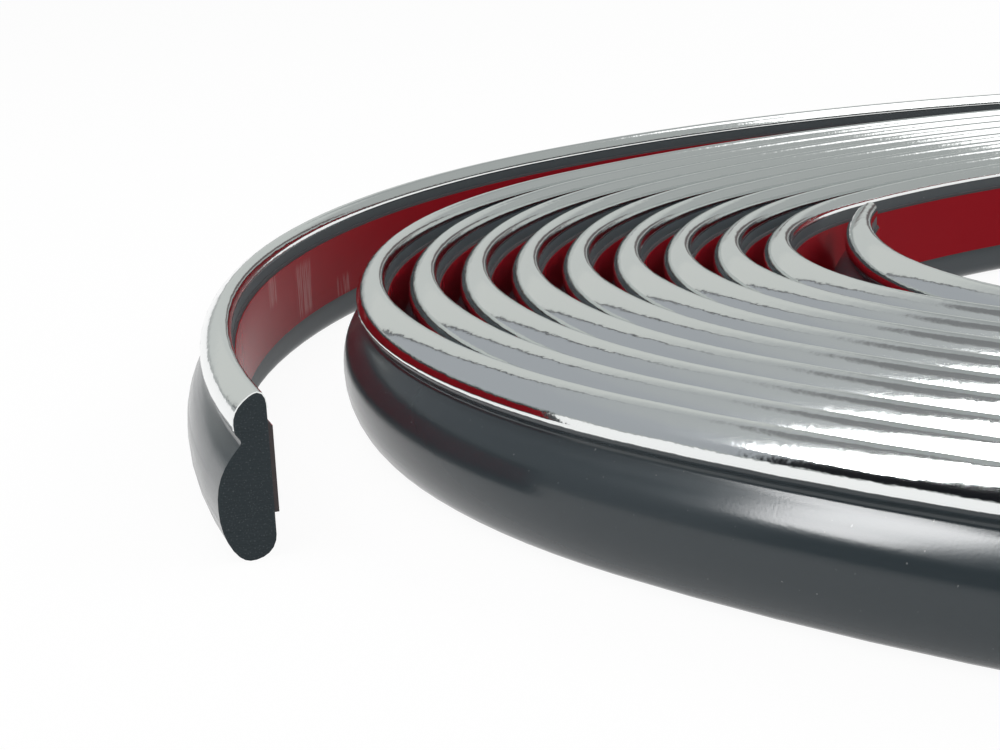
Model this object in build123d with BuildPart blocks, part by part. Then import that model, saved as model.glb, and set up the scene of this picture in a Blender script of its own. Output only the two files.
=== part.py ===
from build123d import *
from math import cos, radians, sin, sqrt
import os

# A length of self-adhesive body side moulding, lying on its long edge as a loose oval coil.
# The strip's flat back, with tape and liner, faces the coil's middle, and the lobe and bead face out.
# Sizes are in millimetres. The floor is Z = 0, and the origin is under the middle of the coil's outline.

# Section of the extruded body, upright. Depths are measured outwards from the flat back.
STRIP_HEIGHT = 22.0
LOBE_DEPTH = 7.2
LOBE_LOW = 5.6
LOBE_HIGH = 9.8
BOTTOM_DEPTH = 5.8
BOTTOM_RISE = 1.9
BACK_CORNER = 2.6

# The waist and the bead above it, with heights measured down from the crest
WAIST_DEPTH = 3.6
WAIST_DROP = 6.2
SHOULDER_DEPTH = 5.9
SHOULDER_DROP = 9.0
BEAD_DEPTH = 4.4
BEAD_LOW_DROP = 5.0
BEAD_HIGH_DROP = 2.7
CREST_DEPTH = 1.3
BEAD_BACK_DROP = 2.0

# Chrome film over the front and the crest of the bead
FILM_THICKNESS = 0.2

# Foam tape on the flat back, and the liner on the tape
TAPE_BOTTOM = 6.0
TAPE_WIDTH = 12.0
TAPE_THICKNESS = 0.45
LINER_THICKNESS = 0.15

# Air between two turns, at the middle of each side of the oval
FRONT_AIR = 0.54
RIGHT_AIR = 4.22
BACK_AIR = 0.57
LEFT_AIR = 0.6

# Route of the flat back seen from above, from the coil's inner end outwards, bending left all along.
# The inner end bends in two arcs, each with its radius and angle.
START_HEADING = 250.0
INNER_ARCS = ((92.9, 24.0), (67.6, 50.0))

# Then every turn is four quarter arcs: the front and right of the first turn are given here.
# The inner end takes up a part of the very first quarter, which keeps the rest of its angle.
FIRST_FRONT_RADIUS = 159.9
FIRST_RIGHT_RADIUS = 56.3
FIRST_ANGLE = 81.0
QUARTER = 90.0
QUARTERS = 38

# The outer end springs away from the coil. Each arc of this tail has the side that it lies on,
# its angle, and its radius as a share of the radius that the coil's own next arc would have.
TAIL_ARCS = (("back", 45.0, 1.15), ("back", 45.0, 0.852), ("left", 45.0, 1.38), ("left", 20.0, 1.51))

# From one turn to the next the route moves out by the strip's thickness and the air
turn_thickness = LOBE_DEPTH + TAPE_THICKNESS + LINER_THICKNESS
front_pitch = turn_thickness + FRONT_AIR
right_pitch = turn_thickness + RIGHT_AIR
back_pitch = turn_thickness + BACK_AIR
left_pitch = turn_thickness + LEFT_AIR

# A quarter arc crosses the oval by its chord, and half of it rises by its sagitta
CHORD = sqrt(2)
SAGITTA = 1 - CHORD / 2

# The long and short radii grow so that the pitches of opposite sides add up
scale = CHORD**2 - (2 * SAGITTA) ** 2
ends_pitch = left_pitch + right_pitch
sides_pitch = front_pitch + back_pitch
long_step = (CHORD * ends_pitch - 2 * SAGITTA * sides_pitch) / scale
short_step = (CHORD * sides_pitch - 2 * SAGITTA * ends_pitch) / scale

# The back and left radii of the first turn set how the pitch is shared between opposite sides
first_radii = {
    "front": FIRST_FRONT_RADIUS,
    "right": FIRST_RIGHT_RADIUS,
    "back": FIRST_FRONT_RADIUS + (left_pitch - SAGITTA * short_step) / CHORD,
    "left": FIRST_RIGHT_RADIUS + (front_pitch - SAGITTA * long_step) / CHORD,
}
radius_steps = {"front": long_step, "right": short_step, "back": long_step, "left": short_step}


def coil_radius(side, turn):
    """Return the radius of one side's arc in a turn counted from 0."""
    return first_radii[side] + turn * radius_steps[side]


def arc_sizes():
    """Return the radius and angle of every arc of the route, in order."""
    sizes = list(INNER_ARCS)
    sides = list(first_radii)
    for index in range(QUARTERS):
        turn, quarter = divmod(index, len(sides))
        angle = QUARTER if index > 0 else FIRST_ANGLE
        sizes.append((coil_radius(sides[quarter], turn), angle))
    last_turn = QUARTERS // len(sides)
    for side, angle, share in TAIL_ARCS:
        sizes.append((share * coil_radius(side, last_turn), angle))
    return sizes


arcs = []
with BuildLine() as route:
    point = (0, 0)
    heading = START_HEADING
    for radius, angle in arc_sizes():
        direction = (cos(radians(heading)), sin(radians(heading)))
        arcs.append(JernArc(start=point, tangent=direction, radius=radius, arc_size=angle))
        point = arcs[-1] @ 1
        heading += angle


def wind(section):
    """Carry a section, with X inwards and Y up, along every arc of the route."""
    lengths = []
    for arc, (radius, angle) in zip(arcs, arc_sizes()):
        tangent = arc % 0
        inward = Vector(-tangent.Y, tangent.X)
        stand = Plane(origin=arc @ 0, x_dir=inward, z_dir=tangent)
        middle = Axis((arc @ 0) + inward * radius, (0, 0, 1))
        lengths.append(revolve(stand * section, axis=middle, revolution_arc=angle, mode=Mode.PRIVATE))
    add(lengths)


waist = (-WAIST_DEPTH, STRIP_HEIGHT - WAIST_DROP)
bead_low = (-BEAD_DEPTH, STRIP_HEIGHT - BEAD_LOW_DROP)
bead_high = (-BEAD_DEPTH, STRIP_HEIGHT - BEAD_HIGH_DROP)
crest = (-CREST_DEPTH, STRIP_HEIGHT)
bead_back = (0, STRIP_HEIGHT - BEAD_BACK_DROP)

with BuildSketch() as body_section:
    with BuildLine():
        Polyline(
            (0, BACK_CORNER),
            bead_back,
            crest,
            bead_high,
            bead_low,
            waist,
            (-SHOULDER_DEPTH, STRIP_HEIGHT - SHOULDER_DROP),
            (-LOBE_DEPTH, LOBE_HIGH),
            (-LOBE_DEPTH, LOBE_LOW),
            (-BOTTOM_DEPTH, BOTTOM_RISE),
            (-BACK_CORNER, 0),
            close=True,
        )
    make_face()

with BuildSketch() as film_section:
    with BuildLine():
        Polyline(
            bead_back,
            crest,
            bead_high,
            bead_low,
            (-BEAD_DEPTH - FILM_THICKNESS, STRIP_HEIGHT - BEAD_HIGH_DROP),
            (-CREST_DEPTH, STRIP_HEIGHT + FILM_THICKNESS),
            close=True,
        )
    make_face()

with BuildSketch() as tape_section:
    with Locations((0, TAPE_BOTTOM)):
        Rectangle(TAPE_THICKNESS, TAPE_WIDTH, align=(Align.MIN, Align.MIN))

with BuildSketch() as liner_section:
    with Locations((TAPE_THICKNESS, TAPE_BOTTOM)):
        Rectangle(LINER_THICKNESS, TAPE_WIDTH, align=(Align.MIN, Align.MIN))

with BuildPart() as moulding_body:
    wind(body_section.sketch)

with BuildPart() as chrome_film:
    wind(film_section.sketch)

with BuildPart() as adhesive_tape:
    wind(tape_section.sketch)

with BuildPart() as release_liner:
    wind(liner_section.sketch)

# Every piece moves together, so that the coil's outline is centred on the origin
outline = moulding_body.part.bounding_box().center()
centred = Location((-outline.X, -outline.Y, 0))

pieces = {
    "moulding_body": moulding_body,
    "chrome_film": chrome_film,
    "adhesive_tape": adhesive_tape,
    "release_liner": release_liner,
}
os.makedirs("parts", exist_ok=True)
for name, piece in pieces.items():
    placed = piece.part.moved(centred)
    placed.label = name
    export_step(placed, f"parts/{name}.step")
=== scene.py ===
from math import cos, pi, radians, sin, sqrt

import bpy
from mathutils import Matrix, Vector


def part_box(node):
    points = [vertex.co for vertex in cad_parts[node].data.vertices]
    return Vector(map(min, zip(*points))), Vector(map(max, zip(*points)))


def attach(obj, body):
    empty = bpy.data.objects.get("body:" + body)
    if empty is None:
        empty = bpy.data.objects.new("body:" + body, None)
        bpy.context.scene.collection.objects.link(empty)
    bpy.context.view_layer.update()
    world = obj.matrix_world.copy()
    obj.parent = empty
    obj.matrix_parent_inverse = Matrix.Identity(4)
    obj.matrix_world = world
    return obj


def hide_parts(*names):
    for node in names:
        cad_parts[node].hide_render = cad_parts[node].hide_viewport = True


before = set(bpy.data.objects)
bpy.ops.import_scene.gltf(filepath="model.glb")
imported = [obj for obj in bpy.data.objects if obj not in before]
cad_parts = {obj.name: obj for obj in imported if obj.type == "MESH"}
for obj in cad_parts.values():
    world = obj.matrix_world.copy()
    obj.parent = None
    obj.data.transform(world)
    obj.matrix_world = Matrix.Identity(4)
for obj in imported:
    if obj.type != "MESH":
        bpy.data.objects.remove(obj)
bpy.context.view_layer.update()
MM = 0.001

# The same sizes as the CAD source, in millimetres
STRIP_HEIGHT = 22.0
LOBE_DEPTH = 7.2
TAPE_BOTTOM = 6.0
TAPE_WIDTH = 12.0
TAPE_THICKNESS = 0.45
LINER_THICKNESS = 0.15
FRONT_AIR = 0.54
RIGHT_AIR = 4.22
BACK_AIR = 0.57
LEFT_AIR = 0.6
START_HEADING = 250.0
INNER_ARCS = ((92.9, 24.0), (67.6, 50.0))
FIRST_FRONT_RADIUS = 159.9
FIRST_RIGHT_RADIUS = 56.3
FIRST_ANGLE = 81.0
QUARTER = 90.0
QUARTERS = 38
TAIL_ARCS = (("back", 45.0, 1.15), ("back", 45.0, 0.852), ("left", 45.0, 1.38), ("left", 20.0, 1.51))

# The angle between two rows of mesh points is about this, in degrees
STATION_ANGLE = 2.5

# Camera: place in millimetres, pitch down and roll in degrees, and focal length in pixels of a picture that is
# 1000 pixels wide. The sensor's width is in millimetres, and the near end of its view in metres.
CAMERA_PLACE = (-191.54, -304.79, 84.56)
CAMERA_PITCH = 15.522
CAMERA_ROLL = -2.544
FOCAL_PIXELS = 1847.5
PICTURE_PIXELS = 1000.0
SENSOR_WIDTH = 36.0
CLIP_START = 0.01


# Route of the flat back seen from above, worked out as in the CAD source

turn_thickness = LOBE_DEPTH + TAPE_THICKNESS + LINER_THICKNESS
front_pitch = turn_thickness + FRONT_AIR
right_pitch = turn_thickness + RIGHT_AIR
back_pitch = turn_thickness + BACK_AIR
left_pitch = turn_thickness + LEFT_AIR

# A quarter arc crosses the oval by its chord, and half of it rises by its sagitta
CHORD = sqrt(2)
SAGITTA = 1 - CHORD / 2

# The long and short radii grow so that the pitches of opposite sides add up
scale = CHORD**2 - (2 * SAGITTA) ** 2
ends_pitch = left_pitch + right_pitch
sides_pitch = front_pitch + back_pitch
long_step = (CHORD * ends_pitch - 2 * SAGITTA * sides_pitch) / scale
short_step = (CHORD * sides_pitch - 2 * SAGITTA * ends_pitch) / scale

# The back and left radii of the first turn set how the pitch is shared between opposite sides
first_radii = {
    "front": FIRST_FRONT_RADIUS,
    "right": FIRST_RIGHT_RADIUS,
    "back": FIRST_FRONT_RADIUS + (left_pitch - SAGITTA * short_step) / CHORD,
    "left": FIRST_RIGHT_RADIUS + (front_pitch - SAGITTA * long_step) / CHORD,
}
radius_steps = {"front": long_step, "right": short_step, "back": long_step, "left": short_step}


def coil_radius(side, turn):
    """Return the radius of one side's arc in a turn counted from 0."""
    return first_radii[side] + turn * radius_steps[side]


def arc_sizes():
    """Return the radius and angle of every arc of the route, in order."""
    sizes = list(INNER_ARCS)
    sides = list(first_radii)
    for index in range(QUARTERS):
        turn, quarter = divmod(index, len(sides))
        angle = QUARTER if index > 0 else FIRST_ANGLE
        sizes.append((coil_radius(sides[quarter], turn), angle))
    last_turn = QUARTERS // len(sides)
    for side, angle, share in TAIL_ARCS:
        sizes.append((share * coil_radius(side, last_turn), angle))
    return sizes


def outward(heading):
    """Return the unit vector to the right of a heading in degrees, which points out of the coil."""
    return Vector((sin(radians(heading)), -cos(radians(heading)), 0))


def route_stations():
    """Return the place, heading and distance along the strip of every station, in millimetres."""
    place = Vector((0, 0, 0))
    heading = START_HEADING
    run = 0.0
    stations = [(place, heading, run)]
    for radius, angle in arc_sizes():
        middle = place - radius * outward(heading)
        steps = max(1, round(angle / STATION_ANGLE))
        for step in range(1, steps + 1):
            turned = angle * step / steps
            spot = middle + radius * outward(heading + turned)
            stations.append((spot, heading + turned, run + radians(turned) * radius))
        place, heading, run = stations[-1]
    return stations


stations = route_stations()
strip_length = stations[-1][2]


def route_shift():
    """Return the move that centres the stations on the body's own box, as the CAD part is, in millimetres."""
    low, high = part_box("moulding_body")
    edges = [place + depth * outward(heading) for place, heading, run in stations for depth in (0, LOBE_DEPTH)]
    middle_x = (min(edge.x for edge in edges) + max(edge.x for edge in edges)) / 2
    middle_y = (min(edge.y for edge in edges) + max(edge.y for edge in edges)) / 2
    box_middle = Vector(((low[0] + high[0]) / 2, (low[1] + high[1]) / 2, 0)) / MM
    return Vector((-middle_x, -middle_y, 0)) + box_middle


shift = route_shift()


# Sections, as (depth out from the flat back, height) in millimetres.
# The body's runs down the flat back, round the lower edge, up the lobe to the waist, and over the bead.

BODY_LOWER = (
    (0, 19.6), (0, 17.0), (0, 11.0), (0, 5.2), (0, 3.0),
    (0.12, 2.2), (0.5, 1.35), (1.1, 0.7), (1.9, 0.25), (2.8, 0.02),
    (3.6, 0.0), (4.3, 0.22), (5.0, 0.75), (5.7, 1.65), (6.3, 2.8), (6.8, 4.2), (7.1, 5.7), (LOBE_DEPTH, 7.3),
    (7.16, 8.8), (6.95, 10.2), (6.55, 11.5), (5.95, 12.7), (5.2, 13.8), (4.4, 14.75), (3.8, 15.4),
    (3.62, 15.75), (3.66, 16.15), (3.95, 16.55), (4.2, 16.85), (4.36, 17.4),
)
BEAD_OUTLINE = (
    (4.4, 18.2), (4.33, 18.95), (4.05, 19.7), (3.6, 20.4), (2.95, 21.05), (2.2, 21.6), (1.6, 21.9),
    (1.1, STRIP_HEIGHT), (0.5, 21.75), (0.15, 21.15), (0.02, 20.4),
)
BODY_PROFILE = BODY_LOWER + BEAD_OUTLINE

# The film's face lies outside the bead and ends under its back. Its inside is the bead's own outline.
FILM_FACE = (
    (4.36, 17.4), (4.5, 17.5), (4.56, 18.2), (4.48, 19.0), (4.19, 19.8), (3.72, 20.52),
    (3.04, 21.2), (2.26, 21.75), (1.64, 22.06), (1.08, 22.16), (0.4, 21.9), (0.02, 21.22), (-0.12, 20.42),
    (-0.14, 19.9), (0, 19.8),
)
FILM_PROFILE = FILM_FACE + BEAD_OUTLINE[::-1]

# The tape's upper edge is worn to a shoulder, and the liner ends under it
SHOULDER_DEPTH = 0.3
SHOULDER_DROP = 0.15
LINER_DROP = 0.5
tape_top = TAPE_BOTTOM + TAPE_WIDTH
liner_top = tape_top - LINER_DROP
liner_back = TAPE_THICKNESS + LINER_THICKNESS
TAPE_PROFILE = (
    (0, TAPE_BOTTOM), (0, tape_top), (-SHOULDER_DEPTH, tape_top - SHOULDER_DROP),
    (-TAPE_THICKNESS, liner_top), (-TAPE_THICKNESS, TAPE_BOTTOM),
)
LINER_PROFILE = (
    (-TAPE_THICKNESS, TAPE_BOTTOM), (-TAPE_THICKNESS, liner_top),
    (-liner_back, liner_top), (-liner_back, TAPE_BOTTOM),
)


def profile_runs(profile):
    """Return the distance round a closed profile at each of its points and back at the first."""
    runs = [0.0]
    for here, after in zip(profile, profile[1:] + profile[:1]):
        runs.append(runs[-1] + sqrt((here[0] - after[0]) ** 2 + (here[1] - after[1]) ** 2))
    return runs


def wind(name, node, profile, sharp, material, cut_material):
    """Build the mesh of one closed profile carried along the route, with flat cut ends.

    The layer named strip holds the distances along the strip and round its profile, in metres,
    and on a cut end the depth and height.
    """
    points = []
    for place, heading, run in stations:
        for depth, height in profile:
            spot = place + shift + depth * outward(heading)
            points.append((spot.x * MM, spot.y * MM, height * MM))

    count = len(profile)
    runs = profile_runs(profile)
    faces = []
    corners = []
    for row in range(len(stations) - 1):
        start, end = row * count, (row + 1) * count
        near, far = stations[row][2], stations[row + 1][2]
        for index in range(count):
            after = (index + 1) % count
            faces.append((start + index, start + after, end + after, end + index))
            low, high = runs[index], runs[index + 1]
            corners += [(near, low), (near, high), (far, high), (far, low)]
    sides = len(faces)

    for row, inner in ((0, True), (len(stations) - 1, False)):
        start = len(points)
        points += points[row * count:(row + 1) * count]
        loop = range(start, start + count)
        faces.append(tuple(loop[::-1] if inner else loop))
        corners += profile[::-1] if inner else profile

    mesh = bpy.data.meshes.new(name)
    mesh.from_pydata(points, [], faces)
    layer = mesh.uv_layers.new(name="strip")
    for corner, (first, second) in zip(layer.data, corners):
        corner.uv = (first * MM, second * MM)
    mesh.materials.append(material)
    mesh.materials.append(cut_material)
    for polygon in mesh.polygons:
        polygon.use_smooth = polygon.index < sides
        polygon.material_index = 0 if polygon.index < sides else 1
    if sharp:
        for edge in mesh.edges:
            first, second = edge.vertices
            edge.use_edge_sharp = abs(first - second) == count
    mesh.validate()
    piece = bpy.data.objects.new(name, mesh)
    bpy.context.scene.collection.objects.link(piece)
    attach(piece, "root")
    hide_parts(node)


# Shader helpers

def new_material(name):
    """Return a material, its node tree and its Principled shader."""
    material = bpy.data.materials.new(name)
    material.use_nodes = True
    return material, material.node_tree, material.node_tree.nodes["Principled BSDF"]


def strip_place(tree):
    """Return the distances along the strip and round its profile as one vector, in metres."""
    node = tree.nodes.new("ShaderNodeUVMap")
    node.uv_map = "strip"
    return node.outputs["UV"]


def strip_distances(tree):
    """Return the distances along the strip and round its profile as two values, in metres."""
    node = tree.nodes.new("ShaderNodeSeparateXYZ")
    tree.links.new(strip_place(tree), node.inputs["Vector"])
    return node.outputs["X"], node.outputs["Y"]


def noise(tree, cells, along=1.0, around=1.0, detail=2.0, roughness=0.5):
    """Return noise on the strip, in cells a metre, with the distances along and round it scaled by factors."""
    mapping = tree.nodes.new("ShaderNodeMapping")
    mapping.inputs["Scale"].default_value = (along, around, 1.0)
    tree.links.new(strip_place(tree), mapping.inputs["Vector"])
    node = tree.nodes.new("ShaderNodeTexNoise")
    node.inputs["Scale"].default_value = cells
    node.inputs["Detail"].default_value = detail
    node.inputs["Roughness"].default_value = roughness
    tree.links.new(mapping.outputs["Vector"], node.inputs["Vector"])
    return node.outputs["Fac"]


def ramp(tree, source, stops):
    """Return a colour ramp on a value, from a list of (position, colour)."""
    node = tree.nodes.new("ShaderNodeValToRGB")
    elements = node.color_ramp.elements
    while len(elements) < len(stops):
        elements.new(0.5)
    for element, (position, colour) in zip(elements, stops):
        element.position = position
        element.color = (*colour, 1.0)
    tree.links.new(source, node.inputs["Fac"])
    return node.outputs["Color"]


def bump(tree, shader, height, strength, distance):
    """Raise a shader's surface by a height texture, with the distance in millimetres."""
    node = tree.nodes.new("ShaderNodeBump")
    node.inputs["Strength"].default_value = strength
    node.inputs["Distance"].default_value = distance * MM
    tree.links.new(height, node.inputs["Height"])
    tree.links.new(node.outputs["Normal"], shader.inputs["Normal"])


def above(tree, value, start, end):
    """Return a soft step from 0 at the start value to 1 at the end value, which may be the lower one."""
    node = tree.nodes.new("ShaderNodeMapRange")
    node.interpolation_type = "SMOOTHSTEP"
    node.inputs["From Min"].default_value = start
    node.inputs["From Max"].default_value = end
    tree.links.new(value, node.inputs["Value"])
    return node.outputs["Result"]


def combined(tree, operation, first, second):
    """Return two values joined by a maths operation. The second may be a plain number."""
    node = tree.nodes.new("ShaderNodeMath")
    node.operation = operation
    tree.links.new(first, node.inputs[0])
    if isinstance(second, float):
        node.inputs[1].default_value = second
    else:
        tree.links.new(second, node.inputs[1])
    return node.outputs["Value"]


def mixed_colours(tree, share, first, second):
    """Return a mix of two colours, each a plain colour or a socket, by a share from 0 to 1."""
    node = tree.nodes.new("ShaderNodeMix")
    node.data_type = "RGBA"
    tree.links.new(share, node.inputs["Factor"])
    for name, colour in (("A", first), ("B", second)):
        if isinstance(colour, tuple):
            node.inputs[name].default_value = (*colour, 1.0)
        else:
            tree.links.new(colour, node.inputs[name])
    return node.outputs["Result"]


def mixed_shaders(tree, share, first, second):
    """Return a mix of two shaders by a share from 0 to 1."""
    node = tree.nodes.new("ShaderNodeMixShader")
    tree.links.new(share, node.inputs["Fac"])
    tree.links.new(first, node.inputs[1])
    tree.links.new(second, node.inputs[2])
    return node.outputs["Shader"]


def grey(level):
    """Return a level as a plain colour."""
    return (level, level, level)


# Materials. Noise is sized in cells a metre, and bumps are raised by millimetres.

PLASTIC = (0.030, 0.040, 0.046)
DUST = (0.16, 0.17, 0.175)
CUT_DARK = (0.016, 0.024, 0.028)
CUT_PLASTIC = (0.022, 0.031, 0.036)
CUT_SPECK = (0.06, 0.07, 0.075)
FILM = (0.84, 0.86, 0.855)
TAPE = (0.035, 0.032, 0.035)
LINER = (0.26, 0.008, 0.014)
SCUFFED_LINER = (0.36, 0.13, 0.13)
CUT_EDGE = (0.030, 0.021, 0.022)

# Roughness of the plastic: on the matt back, and in the glossiest and dullest streaks of the front
MATT = 0.55
GLOSSIEST = 0.16
DULLEST = 0.22

# The body's profile runs down the flat back first. The matt back ends this far round it and then blends into
# the glossy front, in millimetres.
BACK_END = 17.0
BACK_BLEND = 3.0

# Whitish scuffs on the liner: first and last distance from the strip's outer end, and lowest and highest
# height, in millimetres. Each ends softly, over a blend to both sides of these.
SCUFFS = ((86.5, 91.0, 13.0, 17.5), (103.5, 111.0, 7.0, 16.0), (123.5, 129.0, 6.0, 9.5))
SCUFF_BLEND = 1.0

# The liner's profile runs up its front, over its top and down its shown face. A point of that face lies this
# far round the profile, less its own height.
liner_round = (liner_top - TAPE_BOTTOM) + LINER_THICKNESS + liner_top


def make_plastic():
    """Return the black plastic: dusty, glossy with fine streaks on the front, and matt on the back."""
    material, tree, shader = new_material("black_plastic")
    dust = noise(tree, cells=1400.0, detail=1.0)
    colour = ramp(tree, dust, ((0.76, PLASTIC), (0.82, DUST)))
    tree.links.new(colour, shader.inputs["Base Color"])
    shader.inputs["Specular IOR Level"].default_value = 0.5
    streaks = noise(tree, cells=900.0, along=0.02)
    gloss = ramp(tree, streaks, ((0.3, grey(GLOSSIEST)), (0.7, grey(DULLEST))))
    along, around = strip_distances(tree)
    front = above(tree, around, BACK_END * MM, (BACK_END + BACK_BLEND) * MM)
    tree.links.new(mixed_colours(tree, front, grey(MATT), gloss), shader.inputs["Roughness"])
    bump(tree, shader, noise(tree, cells=2500.0), strength=0.15, distance=0.05)
    return material


def make_cut():
    """Return the sawn plastic of the cut ends, with pale specks."""
    material, tree, shader = new_material("cut_plastic")
    shader.inputs["Roughness"].default_value = 0.6
    shader.inputs["Specular IOR Level"].default_value = 0.2
    specks = noise(tree, cells=4000.0, detail=1.0)
    colour = ramp(tree, specks, ((0.0, CUT_DARK), (0.62, CUT_PLASTIC), (0.74, CUT_SPECK)))
    tree.links.new(colour, shader.inputs["Base Color"])
    saw_marks = noise(tree, cells=3000.0, along=0.15)
    bump(tree, shader, saw_marks, strength=0.5, distance=0.15)
    return material


def make_film():
    """Return the bright film, which ripples a little along the strip."""
    material, tree, shader = new_material("bright_film")
    shader.inputs["Base Color"].default_value = (*FILM, 1.0)
    shader.inputs["Metallic"].default_value = 1.0
    shader.inputs["Roughness"].default_value = 0.09
    wave = noise(tree, cells=420.0, along=0.6, detail=3.0, roughness=0.55)
    bump(tree, shader, wave, strength=0.5, distance=0.12)
    return material


def make_tape():
    """Return the matt foam of the tape."""
    material, tree, shader = new_material("foam_tape")
    shader.inputs["Base Color"].default_value = (*TAPE, 1.0)
    shader.inputs["Roughness"].default_value = 0.8
    shader.inputs["Specular IOR Level"].default_value = 0.15
    bump(tree, shader, noise(tree, cells=3000.0), strength=0.5, distance=0.1)
    return material


def scuff(tree, first, last, low, high):
    """Return the share of one streaky scuff at a point of the liner."""
    along, around = strip_distances(tree)
    streaks = noise(tree, cells=1500.0, around=0.05, detail=3.0)
    share = above(tree, streaks, 0.40, 0.60)
    for value, edge, blend in (
        (along, strip_length - last, SCUFF_BLEND),
        (along, strip_length - first, -SCUFF_BLEND),
        (around, liner_round - high, SCUFF_BLEND),
        (around, liner_round - low, -SCUFF_BLEND),
    ):
        step = above(tree, value, (edge - blend) * MM, (edge + blend) * MM)
        share = combined(tree, "MULTIPLY", share, step)
    return share


def make_liner():
    """Return the glossy red liner with its scuffs."""
    material, tree, shader = new_material("red_liner")
    colour = LINER
    for first, last, low, high in SCUFFS:
        colour = mixed_colours(tree, scuff(tree, first, last, low, high), colour, SCUFFED_LINER)
    tree.links.new(colour, shader.inputs["Base Color"])
    shader.inputs["Roughness"].default_value = 0.25
    shader.inputs["Specular IOR Level"].default_value = 0.10
    shader.inputs["IOR"].default_value = 1.2
    wave = noise(tree, cells=160.0, along=0.35, detail=3.0)
    bump(tree, shader, wave, strength=0.4, distance=0.2)
    return material


def make_cut_edge():
    """Return the dark cut ends of the tape and the liner."""
    material, tree, shader = new_material("cut_edge")
    shader.inputs["Base Color"].default_value = (*CUT_EDGE, 1.0)
    shader.inputs["Roughness"].default_value = 0.8
    bump(tree, shader, noise(tree, cells=3000.0), strength=0.5, distance=0.1)
    return material


plastic = make_plastic()
cut = make_cut()
film = make_film()
tape = make_tape()
liner = make_liner()
cut_edge = make_cut_edge()

wind("strip_body", "moulding_body", BODY_PROFILE, False, plastic, cut)
wind("strip_film", "chrome_film", FILM_PROFILE, False, film, film)
wind("strip_tape", "adhesive_tape", TAPE_PROFILE, True, tape, cut_edge)
wind("strip_liner", "release_liner", LINER_PROFILE, True, liner, cut_edge)


# Floor, world and lamps, in metres

FLOOR_SIZE = 6.0
FLOOR_COLOUR = (0.86, 0.86, 0.86)
FLOOR_GLOW = 0.94
WORLD_LEVEL = 0.6
WHITE = (1.0, 1.0, 1.0)

# Colours of the room that the bright film mirrors
PALE_WALL = (0.61, 0.63, 0.61)
BLUE_WALL = (0.385, 0.405, 0.43)
SOFT_WALL = (0.56, 0.585, 0.57)
HIGH_WALL = (0.43, 0.45, 0.455)
GREY_WALL = (0.40, 0.42, 0.415)
MISTY_WALL = (0.36, 0.38, 0.38)
DARK_WALL = (0.20, 0.205, 0.21)
DARK_LINE = (0.05, 0.05, 0.055)
DIM_ROOM = (0.13, 0.115, 0.115)
DARK_ROOM = (0.006, 0.007, 0.009)
WHITE_LIGHT = (1.6, 1.6, 1.6)

# Each part of the room is laid over those before it. It begins where a direction points far enough along
# the part's axis. X is to the right of the coil, Y away from the camera, and Z up.
PALE_AXIS = (0.80, 0.60, 0.0)
HIGH_AXIS = (0.0, 0.0, 1.0)
MISTY_AXIS = (0.924, -0.186, 0.333)
DARK_AXIS = (-0.171, 0.296, 0.940)
LOW_AXIS = (0.400, 0.314, -0.862)
RIGHT_AXIS = (0.866, -0.500, 0.0)
ROOM_AXIS = (0.309, -0.951, 0.0)
BEHIND_AXIS = (0.84, -0.54, 0.0)
DIM_AXIS = (0.324, 0.694, -0.643)
DOWN_AXIS = (0.0, 0.0, -1.0)
WINDOW_AXIS = (0.453, -0.785, 0.423)
SKYLIGHT_AXIS = (0.30, -0.10, 0.95)
ROOM_PARTS = (
    (PALE_AXIS, -0.035, -0.025, DARK_LINE),
    (PALE_AXIS, -0.005, 0.005, PALE_WALL),
    (HIGH_AXIS, 0.60, 0.85, HIGH_WALL),
    (MISTY_AXIS, 0.03, 0.13, MISTY_WALL),
    (DARK_AXIS, 0.965, 0.985, DARK_WALL),
    (LOW_AXIS, -0.02, 0.02, SOFT_WALL),
    (RIGHT_AXIS, -0.10, 0.50, GREY_WALL),
    (ROOM_AXIS, -0.02, 0.04, DARK_ROOM),
    (BEHIND_AXIS, 0.0, 0.2, GREY_WALL),
    (DIM_AXIS, 0.624, 0.660, DIM_ROOM),
    (DOWN_AXIS, -0.060, -0.035, GREY_WALL),
    (WINDOW_AXIS, 0.815, 0.835, WHITE_LIGHT),
    (SKYLIGHT_AXIS, 0.85, 0.88, WHITE_LIGHT),
)

# Lamps: name, place, turn in degrees, size, radiance as a share of white, and whether it is only mirrored
LAMPS = (
    ("front_lamp", (-0.50, -0.20, 0.80), 43.0, (0.60, 0.45), 4.0, False),
    ("right_lamp", (0.75, 0.23, 0.80), 28.4, (0.60, 1.00), 3.0, False),
    ("mirrored_lamp", (-0.220, -0.115, 0.250), 23.6, (0.70, 0.10), 18.0, True),
)


def whiten(tree, surface, glow):
    """Mix white into a surface for camera, glossy and transmission rays, by a share from 0 to 1."""
    path = tree.nodes.new("ShaderNodeLightPath")
    seen = combined(tree, "MAXIMUM", path.outputs["Is Camera Ray"], path.outputs["Is Glossy Ray"])
    shown = combined(tree, "MAXIMUM", seen, path.outputs["Is Transmission Ray"])
    white = tree.nodes.new("ShaderNodeEmission")
    white.inputs["Color"].default_value = (*WHITE, 1.0)
    return mixed_shaders(tree, combined(tree, "MULTIPLY", shown, glow), surface, white.outputs["Emission"])


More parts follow.
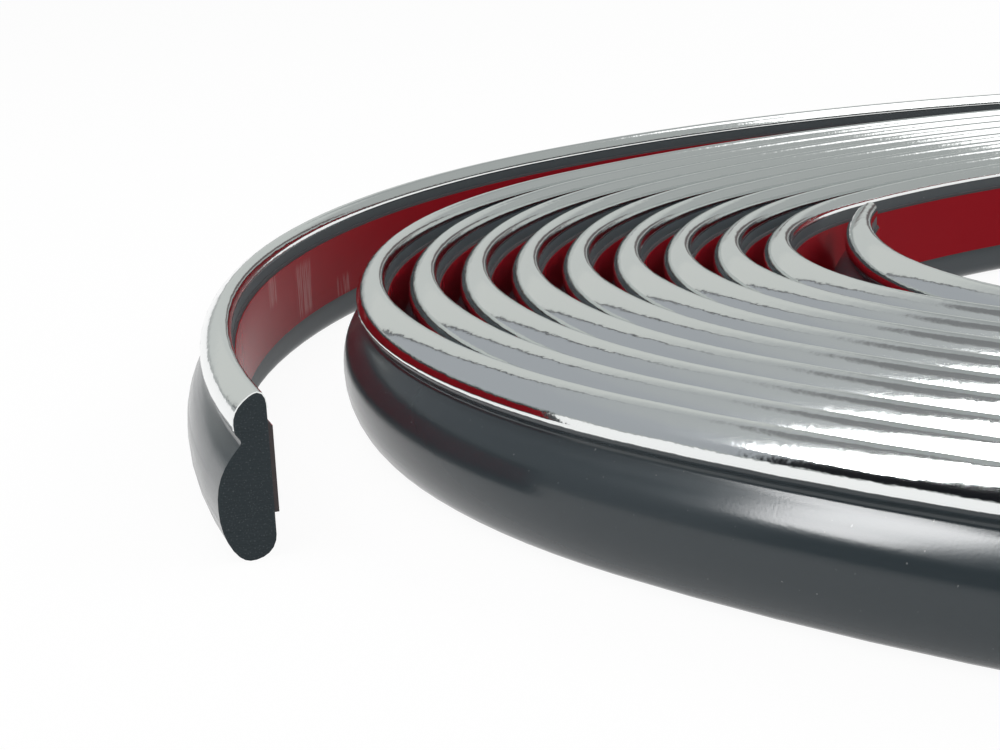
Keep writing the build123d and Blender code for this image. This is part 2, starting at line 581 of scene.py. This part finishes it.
def make_floor():
    """Lay the white floor, which keeps a faint shadow."""
    mesh = bpy.data.meshes.new("floor")
    half = FLOOR_SIZE / 2
    corners = [(-half, -half, 0), (half, -half, 0), (half, half, 0), (-half, half, 0)]
    mesh.from_pydata(corners, [], [(0, 1, 2, 3)])
    material, tree, shader = new_material("floor_white")
    shader.inputs["Base Color"].default_value = (*FLOOR_COLOUR, 1.0)
    shader.inputs["Roughness"].default_value = 0.9
    shader.inputs["Specular IOR Level"].default_value = 0.0
    shown = whiten(tree, shader.outputs["BSDF"], FLOOR_GLOW)
    tree.links.new(shown, tree.nodes["Material Output"].inputs["Surface"])
    mesh.materials.append(material)
    floor = bpy.data.objects.new("floor", mesh)
    bpy.context.scene.collection.objects.link(floor)


def along_direction(tree, source, direction):
    """Return how far a direction of the world points along another."""
    node = tree.nodes.new("ShaderNodeVectorMath")
    node.operation = "DOT_PRODUCT"
    tree.links.new(source, node.inputs[0])
    node.inputs[1].default_value = direction
    return node.outputs["Value"]


def make_world():
    """Make the world: plain light, white for the camera, and the room for mirrored rays."""
    world = bpy.data.worlds.new("studio")
    world.use_nodes = True
    bpy.context.scene.world = world
    tree = world.node_tree
    direction = tree.nodes.new("ShaderNodeTexCoord").outputs["Generated"]
    room = BLUE_WALL
    for axis, start, end, colour in ROOM_PARTS:
        share = above(tree, along_direction(tree, direction, axis), start, end)
        room = mixed_colours(tree, share, room, colour)

    light = tree.nodes["Background"]
    light.inputs["Strength"].default_value = WORLD_LEVEL
    mirrored = tree.nodes.new("ShaderNodeBackground")
    tree.links.new(room, mirrored.inputs["Color"])
    white = tree.nodes.new("ShaderNodeBackground")
    for plain in (light, white):
        plain.inputs["Color"].default_value = (*WHITE, 1.0)

    path = tree.nodes.new("ShaderNodeLightPath")
    glossy, seen = path.outputs["Is Glossy Ray"], path.outputs["Is Camera Ray"]
    lit = mixed_shaders(tree, glossy, light.outputs["Background"], mirrored.outputs["Background"])
    shown = mixed_shaders(tree, seen, lit, white.outputs["Background"])
    tree.links.new(shown, tree.nodes["World Output"].inputs["Surface"])


def make_lamp(name, place, turn, size, radiance, mirrored):
    """Hang a level rectangular lamp, facing down, that either lights or is only mirrored."""
    lamp = bpy.data.lights.new(name, "AREA")
    lamp.shape = "RECTANGLE"
    lamp.size, lamp.size_y = size
    lamp.energy = radiance * pi * size[0] * size[1]
    holder = bpy.data.objects.new(name, lamp)
    holder.location = place
    holder.rotation_euler = (0, 0, radians(turn))
    holder.visible_diffuse = not mirrored
    holder.visible_glossy = mirrored
    bpy.context.scene.collection.objects.link(holder)


make_floor()
make_world()
for lamp in LAMPS:
    make_lamp(*lamp)


# Camera

def make_camera():
    """Place the camera by its pitch and roll and make it the scene's own."""
    data = bpy.data.cameras.new("camera")
    data.sensor_width = SENSOR_WIDTH
    data.lens = SENSOR_WIDTH * FOCAL_PIXELS / PICTURE_PIXELS
    data.clip_start = CLIP_START
    camera = bpy.data.objects.new("camera", data)
    roll, pitch = radians(CAMERA_ROLL), radians(CAMERA_PITCH)
    right = Vector((cos(roll), sin(roll) * sin(pitch), sin(roll) * cos(pitch)))
    up = Vector((-sin(roll), cos(roll) * sin(pitch), cos(roll) * cos(pitch)))
    back = -Vector((0, cos(pitch), -sin(pitch)))
    turn = Matrix((right, up, back)).transposed().to_4x4()
    camera.matrix_world = Matrix.Translation(Vector(CAMERA_PLACE) * MM) @ turn
    bpy.context.scene.collection.objects.link(camera)
    bpy.context.scene.camera = camera


make_camera()
bpy.context.scene.view_settings.view_transform = "Standard"
